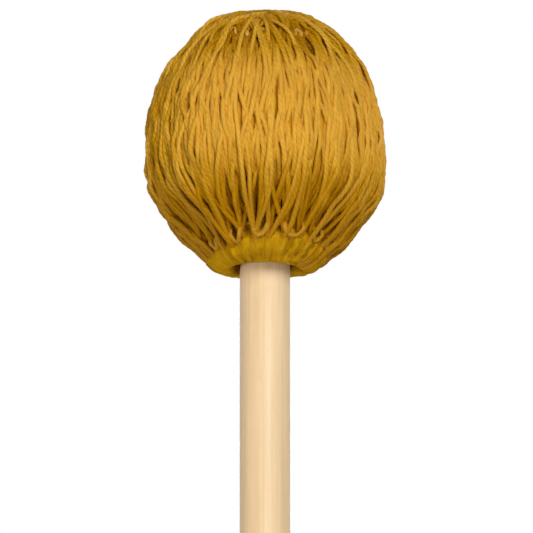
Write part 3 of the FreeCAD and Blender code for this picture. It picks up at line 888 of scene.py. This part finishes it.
def make_stitches(name, low, seed):
    """A ring of stitches: a thread that runs up and down round the head over the gathered passes."""
    rng = np.random.default_rng(seed)
    stitches = COLLAR_STITCHES if low else CROWN_STITCHES
    count = stitches * STITCH_POINTS[0 if low else 1]
    longitude = np.linspace(0.0, FULL, count, endpoint=False)
    phase = stitch_phase(longitude, stitches)
    loose = blurred(rng.normal(0.0, 1.0, count), LOOSE_BLUR)
    loose /= float(np.std(loose))
    number = np.floor(phase / FULL + 0.5).astype(int) % stitches
    lift = blurred(rng.normal(0.0, LIFT_SPREAD, stitches)[number], STITCH_BLUR)
    sunk = blurred(np.clip(rng.normal(*SUNK, stitches), *SUNK_LIMITS)[number], STITCH_BLUR)
    long = blurred(rng.uniform(*STITCH_LENGTH_SHARES, stitches)[number], STITCH_BLUR)
    beside = np.abs(np.angle(np.exp(1j * (phase + LOOSE_PHASE * loose)))) / math.pi
    bowl = 1 - 2 * np.minimum(beside / STITCH_SHARE, 1.0) ** BOWL_POWER
    toward = 1 if low else -1
    middle = collar_line(longitude) - COLLAR_RISE if low else CROWN_LINE + CROWN_DROP
    swing = STITCH_SWING * (1.0 if low else CROWN_SWING_SHARE)
    s = middle + toward * (swing * long * bowl + lift) + LOOSE_SWING * loose
    depth = LINK_DEPTH * smooth((beside - STITCH_SHARE + LINK_LEAD_SHARE) / LINK_FADE_SHARE)
    depth = depth + sunk + drawn_in(s, longitude)
    if low:
        deeper, left, right = SIDE_THREAD
        depth = (depth + COLLAR_THREAD_DEPTH + deeper * near(longitude, LEFT, left)
                 + deeper * near(longitude, RIGHT, right))
    else:
        depth = depth + CROWN_THREAD_DEPTH
    keep = slice(0, count - THREAD_GAP)
    places, normals = OUTLINE.points(s[keep], longitude[keep], depth[keep])
    thick = THREAD_RADIUS * (1.0 if low else CROWN_THREAD_SHARE)
    thick = thick * (1 + LOOSE_THICK_SHARE * loose[keep])
    return cords_piece(name, [(places, normals, thick, thick, 0.0, THREAD_TONE)], FINE_TUBE[1])


def new_material(name):
    """An empty node material with its shader."""
    material = bpy.data.materials.new(name)
    material.use_nodes = True
    tree = material.node_tree
    shader = next(n for n in tree.nodes if n.type == "BSDF_PRINCIPLED")
    return material, tree, shader


def plug(tree, made, inputs):
    """Set or link the inputs of a node."""
    for name, value in inputs.items():
        if isinstance(value, bpy.types.NodeSocket):
            tree.links.new(value, made.inputs[name])
        else:
            made.inputs[name].default_value = value


def node(tree, kind, inputs=None, **settings):
    """A shader node with its settings and the values or links of its inputs."""
    made = tree.nodes.new("ShaderNode" + kind)
    for name, value in settings.items():
        setattr(made, name, value)
    plug(tree, made, inputs or {})
    return made


def maths(tree, operation, *values):
    """The result of a sum on values or sockets."""
    return node(tree, "Math", dict(enumerate(values)), operation=operation).outputs[0]


def weighed(tree, first, *others):
    """The sum of values by their weights, each given as (value, weight)."""
    total = maths(tree, "MULTIPLY", *first)
    for value, weight in others:
        total = maths(tree, "MULTIPLY_ADD", value, weight, total)
    return total


def noise(tree, vector, scale, detail=2.0, roughness=0.5, distortion=0.0):
    """A soft random value over a vector."""
    inputs = {"Vector": vector, "Scale": scale, "Detail": detail, "Roughness": roughness,
              "Distortion": distortion}
    return node(tree, "TexNoise", inputs).outputs["Fac"]


def ranged(tree, value, start, end, low=0.0, high=1.0, kind="LINEAR"):
    """A value carried from one range to another."""
    inputs = {"Value": value, "From Min": start, "From Max": end, "To Min": low, "To Max": high}
    return node(tree, "MapRange", inputs, interpolation_type=kind).outputs["Result"]


def fade(tree, value, ends, low=0.0, high=1.0):
    """A smooth change of a value between two places in millimetres."""
    return ranged(tree, value, ends[0] * MM, ends[1] * MM, low, high, "SMOOTHSTEP")


def blend(tree, factor, first, second, kind="MIX"):
    """Two colours mixed."""
    return node(tree, "Mix", {"Factor": factor, 6: first, 7: second},
                data_type="RGBA", blend_type=kind).outputs[2]


def split(tree, vector):
    """A vector's parts."""
    return node(tree, "SeparateXYZ", {"Vector": vector}).outputs


def scaled(tree, x, x_scale, y, y_scale):
    """A flat vector of two values, each times its own scale."""
    x, y = maths(tree, "MULTIPLY", x, x_scale), maths(tree, "MULTIPLY", y, y_scale)
    return node(tree, "CombineXYZ", {"X": x, "Y": y}).outputs[0]


def object_place(tree):
    """The place on the object, in metres."""
    return node(tree, "TexCoord").outputs["Object"]


def srgb(red, green, blue):
    """A colour written in sRGB steps of 0 to 255, as the linear colour that nodes take."""
    shares = [v / 255 for v in (red, green, blue)]
    return tuple(v / 12.92 if v <= 0.04045 else ((v + 0.055) / 1.055) ** 2.4
                 for v in shares) + (1.0,)


def ramp(tree, factor, stops):
    """A colour ramp with stops of (place, colour)."""
    made = node(tree, "ValToRGB", {"Fac": factor})
    elements = made.color_ramp.elements
    while len(elements) < len(stops):
        elements.new(0.5)
    for element, (place, colour) in zip(elements, stops):
        element.position = place
        element.color = colour
    return made.outputs["Color"]


def dress(tree, shader, colour, bump, settings):
    """A shader's colour, its bump (height, strength, distance) and its plain settings."""
    height, strength, distance = bump
    made = node(tree, "Bump", {"Height": height, "Strength": strength, "Distance": distance})
    plug(tree, shader, {"Base Color": colour, "Normal": made.outputs["Normal"], **settings})


def highlight_share(tree, place, fibre):
    """The painted highlight: a paler belt round the head, less at the left, and most on its fibres."""
    parts = split(tree, place)
    belt = maths(tree, "MULTIPLY", fade(tree, parts["Z"], HIGHLIGHT_BELT[:2]),
                 fade(tree, parts["Z"], HIGHLIGHT_BELT[:1:-1]))
    belt = maths(tree, "MULTIPLY", belt, fade(tree, parts["X"], HIGHLIGHT_SIDE))
    return maths(tree, "MULTIPLY", belt, ranged(tree, fibre, 0.3, 0.7, 0.34, 0.9))


def cord_material(name, colours):
    """Soft twisted yarn: a tone for each pass, with painted light on the uppermost passes and painted
    shade on those under them, slow drifts along it, fibres that wind round it, painted shade in the
    grooves between its plies, a painted highlight in a paler belt round the head, and painted shade that
    darkens the cord towards the collar."""
    light, mid, dark, deep, belt_highlight = (srgb(*colour) for colour in colours)
    material, tree, shader = new_material(name)
    along = node(tree, "UVMap", uv_map="cord").outputs["UV"]
    run = split(tree, along)
    place = object_place(tree)
    # the tone of each pass, which carries painted light and shade by its layer and painted shade where it
    # lies under others
    tone_and_shade = node(tree, "Attribute", attribute_name="tone_and_shade").outputs["Fac"]
    spun = maths(tree, "MULTIPLY", run["X"], 1 / TWIST_PITCH)
    twist = maths(tree, "SUBTRACT", run["Y"], spun)
    fibre = noise(tree, scaled(tree, run["X"], 0.9, twist, 26.0), 1.0, 3.0, 0.6)
    total = weighed(tree, (noise(tree, along, 0.35), 0.35), (noise(tree, place, 160.0), 0.35),
                    (fibre, 0.52), (tone_and_shade, 0.045))
    colour = ramp(tree, total, [(0.12, deep), (0.36, dark), (0.56, mid), (0.76, light)])
    # painted shade: the cord is darkened in the grooves between its plies
    ply = maths(tree, "COSINE", maths(tree, "MULTIPLY", twist, FULL * PLIES))
    ply_groove_shade = ranged(tree, ply, -1.0, 0.1, 0.34, 0.0)
    colour = blend(tree, ply_groove_shade, colour, dark, "MULTIPLY")
    # painted highlight: a paler belt round the head, fading to the left
    colour = blend(tree, highlight_share(tree, place, fibre), colour, belt_highlight)
    # painted shade: the cord is darkened towards the collar
    low_shade = fade(tree, split(tree, place)["Z"], LOW_SHADE_HEIGHTS, LOW_SHADE_SHARE, 0.0)
    colour = blend(tree, low_shade, colour, dark)
    height = maths(tree, "MULTIPLY_ADD", ply, 0.15, fibre)
    dress(tree, shader, colour, (height, 0.5, 0.00012), {
        "Roughness": 0.55, "Specular IOR Level": 0.06, "Specular Tint": (1.0, 0.7, 0.3, 1.0),
        "Sheen Weight": 0.06, "Sheen Roughness": 0.45, "Sheen Tint": light})
    return material


def pressed_material(name, colours, across):
    """Yarn pressed into a skin: fine streaks from the pole to the collar, and painted shade in the mouth.
    """
    light, mid, dark = (srgb(*colour) for colour in colours)
    material, tree, shader = new_material(name)
    place = object_place(tree)
    flat = split(tree, node(tree, "UVMap", uv_map="OFBake").outputs["UV"])
    streak = noise(tree, scaled(tree, flat["X"], across, flat["Y"], 5.0), 1.0, 4.0, 0.6)
    total = weighed(tree, (streak, 0.55), (noise(tree, place, 420.0, 3.0), 0.5))
    colour = ramp(tree, total, [(0.34, dark), (0.54, mid), (0.74, light)])
    # painted shade: the skin is darkened towards the shaft, inside the collar's mouth
    level = node(tree, "VectorMath", {0: place, 1: (1.0, 1.0, 0.0)}, operation="MULTIPLY")
    radius = node(tree, "VectorMath", {0: level.outputs[0]}, operation="LENGTH")
    inside = fade(tree, radius.outputs["Value"], MOUTH_SHADE_RADII, MOUTH_SHADE_SHARE, 0.0)
    colour = blend(tree, inside, colour, srgb(*MOUTH_SHADE))
    dress(tree, shader, colour, (total, 0.6, 0.0002), {"Roughness": 0.85, "Specular IOR Level": 0.04})
    return material


def birch_material():
    """Pale birch under a satin finish: long soft bands, fine grain and short dark pores."""
    light, mid, dark = (srgb(*colour) for colour in BIRCH)
    material, tree, shader = new_material("birch")
    place = object_place(tree)

    def stretched(share):
        """The place, drawn out along the shaft."""
        return node(tree, "Mapping", {"Vector": place, "Scale": (1.0, 1.0, share)}).outputs[0]

    band = noise(tree, stretched(0.035), 420.0, 3.0, 0.55, 0.4)
    grain = noise(tree, stretched(0.018), 2600.0, 3.0)
    pore = noise(tree, stretched(0.07), 5200.0, 1.0)
    colour = ramp(tree, weighed(tree, (band, 0.7), (grain, 0.3)), [(0.3, dark), (0.5, mid), (0.7, light)])
    speck = ramp(tree, pore, [(0.28, srgb(*PORES[0])), (0.36, srgb(*PORES[1]))])
    dress(tree, shader, blend(tree, 0.12, colour, speck, "MULTIPLY"), (grain, 0.25, 0.00004), {
        "Roughness": 0.42, "Specular IOR Level": 0.35, "Coat Weight": 0.06, "Coat Roughness": 0.3})
    return material


def plain_material(name, colours, roughness, scale):
    """A hidden piece's material: mottled, with a fine bump."""
    light, dark = (srgb(*colour) for colour in colours)
    material, tree, shader = new_material(name)
    mottle = noise(tree, object_place(tree), scale, 4.0)
    colour = ramp(tree, mottle, [(0.4, dark), (0.6, light)])
    dress(tree, shader, colour, (mottle, 0.2, 0.0001), {"Roughness": roughness})
    return material


def set_material(piece, material):
    """A material on all of a piece's slots."""
    if not piece.data.materials:
        piece.data.materials.append(material)
    for slot in piece.material_slots:
        slot.link = "OBJECT"
        slot.material = material


def finish_piece(piece, material, slot, *nodes):
    """A new piece's material, body and the CAD nodes that it stands for; its slot is not used."""
    piece.data.materials.append(material)
    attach(piece, BODY)
    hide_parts(*nodes)


def aim(thing, back, distance):
    """Put a camera or lamp at a distance from the head, the way back, and turn it to the head."""
    thing.location = Vector((0.0, 0.0, AIM_HEIGHT)) + back * distance
    thing.rotation_mode = "QUATERNION"
    thing.rotation_quaternion = (-back).to_track_quat("-Z", "Y")
    bpy.context.scene.collection.objects.link(thing)


def make_camera():
    """The photograph's camera: in front, and looking up at the head from a little below it."""
    camera = bpy.data.cameras.new("camera")
    camera.sensor_width = SENSOR
    camera.lens = SENSOR * DISTANCE / FRAME_WIDTH
    camera.clip_start, camera.clip_end = CLIP
    camera.shift_x = (IMAGE / 2 - AXIS_X) / IMAGE
    seen = bpy.data.objects.new("camera", camera)
    drop = math.radians(CAMERA_DROP)
    aim(seen, Vector((0.0, -math.cos(drop), -math.sin(drop))), DISTANCE)
    bpy.context.scene.camera = seen


def add_lamp(name, azimuth, elevation, distance, size, power):
    """A soft square lamp that faces the head."""
    lamp = bpy.data.lights.new(name, "AREA")
    lamp.shape = "SQUARE"
    lamp.size = size
    lamp.energy = power
    shown = bpy.data.objects.new(name, lamp)
    shown.visible_camera = False
    a, e = math.radians(azimuth), math.radians(elevation)
    back = Vector((math.sin(a) * math.cos(e), -math.cos(a) * math.cos(e), math.sin(e)))
    aim(shown, back, distance)


def seen_rays(tree):
    """Whether a ray shows the ground itself: one from the camera, a mirror or a clear material."""
    rays = node(tree, "LightPath").outputs
    seen = maths(tree, "MAXIMUM", rays["Is Camera Ray"], rays["Is Glossy Ray"])
    return maths(tree, "MAXIMUM", seen, rays["Is Transmission Ray"])


def make_light():
    """Plain soft studio light on a white ground."""
    world = bpy.data.worlds.new("studio")
    bpy.context.scene.world = world
    world.use_nodes = True
    tree = world.node_tree
    tree.nodes.clear()
    height = split(tree, node(tree, "TexCoord").outputs["Generated"])["Z"]
    level = ranged(tree, height, *SKY)
    dim = node(tree, "Background", {"Color": WHITE, "Strength": level})
    white = node(tree, "Background", {"Color": WHITE, "Strength": 1.0})
    mixed = node(tree, "MixShader", {0: seen_rays(tree), 1: dim.outputs[0],
                                               2: white.outputs[0]})
    node(tree, "OutputWorld", {"Surface": mixed.outputs[0]})
    for lamp in LAMPS:
        add_lamp(*lamp)


def make_floor():
    """A plain pale floor that the camera sees as white, with the object's shadow."""
    vertices = FLOOR_SIZE * np.array([(-1, -1, 0), (1, -1, 0), (1, 1, 0), (-1, 1, 0)])
    floor = mesh_piece("floor", vertices, np.array([[0, 1, 2, 3]]))
    material, tree, shader = new_material("floor")
    low, high = ((tone_and_shade, tone_and_shade, tone_and_shade, 1) for tone_and_shade in FLOOR_TONES)
    colour = ramp(tree, noise(tree, object_place(tree), 3.0), [(0.3, low), (0.7, high)])
    glow = maths(tree, "MULTIPLY", seen_rays(tree), FLOOR_GLOW)
    plug(tree, shader, {"Base Color": colour, "Roughness": 0.9, "Emission Color": WHITE,
                        "Emission Strength": glow})
    floor.data.materials.append(material)


def make_materials():
    """The materials by name."""
    return {
        "cord": cord_material("cord", CORD),
        "thread": cord_material("stitch_thread", THREAD),
        "base": pressed_material("base_yarn", BASE, 300.0),
        "collar": pressed_material("collar", COLLAR, 170.0),
        "birch": birch_material(),
        "rubber": plain_material("core_rubber", RUBBER, 0.7, 300.0),
        "glue": plain_material("glue", GLUE, 0.3, 200.0),
        "latex": plain_material("latex", LATEX, 0.5, 250.0),
    }


def main():
    """Dress the mallet."""
    bpy.context.scene.view_settings.view_transform = "Standard"
    make_camera()
    make_light()
    make_floor()
    materials = make_materials()
    for name, key in (("shaft", "birch"), ("core", "rubber"), ("tip_glue", "glue"),
                      ("latex_band", "latex"), ("base_winding", "base"), ("outer_winding", "cord"),
                      ("crown_stitch", "thread"), ("collar_stitch", "thread")):
        set_material(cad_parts[name], materials[key])
    laid, grid = wind()
    pile = pile_height(grid)
    for piece in make_winding(laid, pile):
        finish_piece(piece, materials["cord"], "cord", "outer_winding")
    finish_piece(make_base(), materials["base"], "base_yarn", "base_winding")
    finish_piece(make_collar(grid), materials["collar"], "base_yarn", "base_winding")
    finish_piece(make_stitches("collar_stitches", True, SEED + 2), materials["thread"],
                 "stitch_thread", "collar_stitch")
    finish_piece(make_stitches("crown_stitches", False, SEED + 3), materials["thread"],
                 "stitch_thread", "crown_stitch")


main()
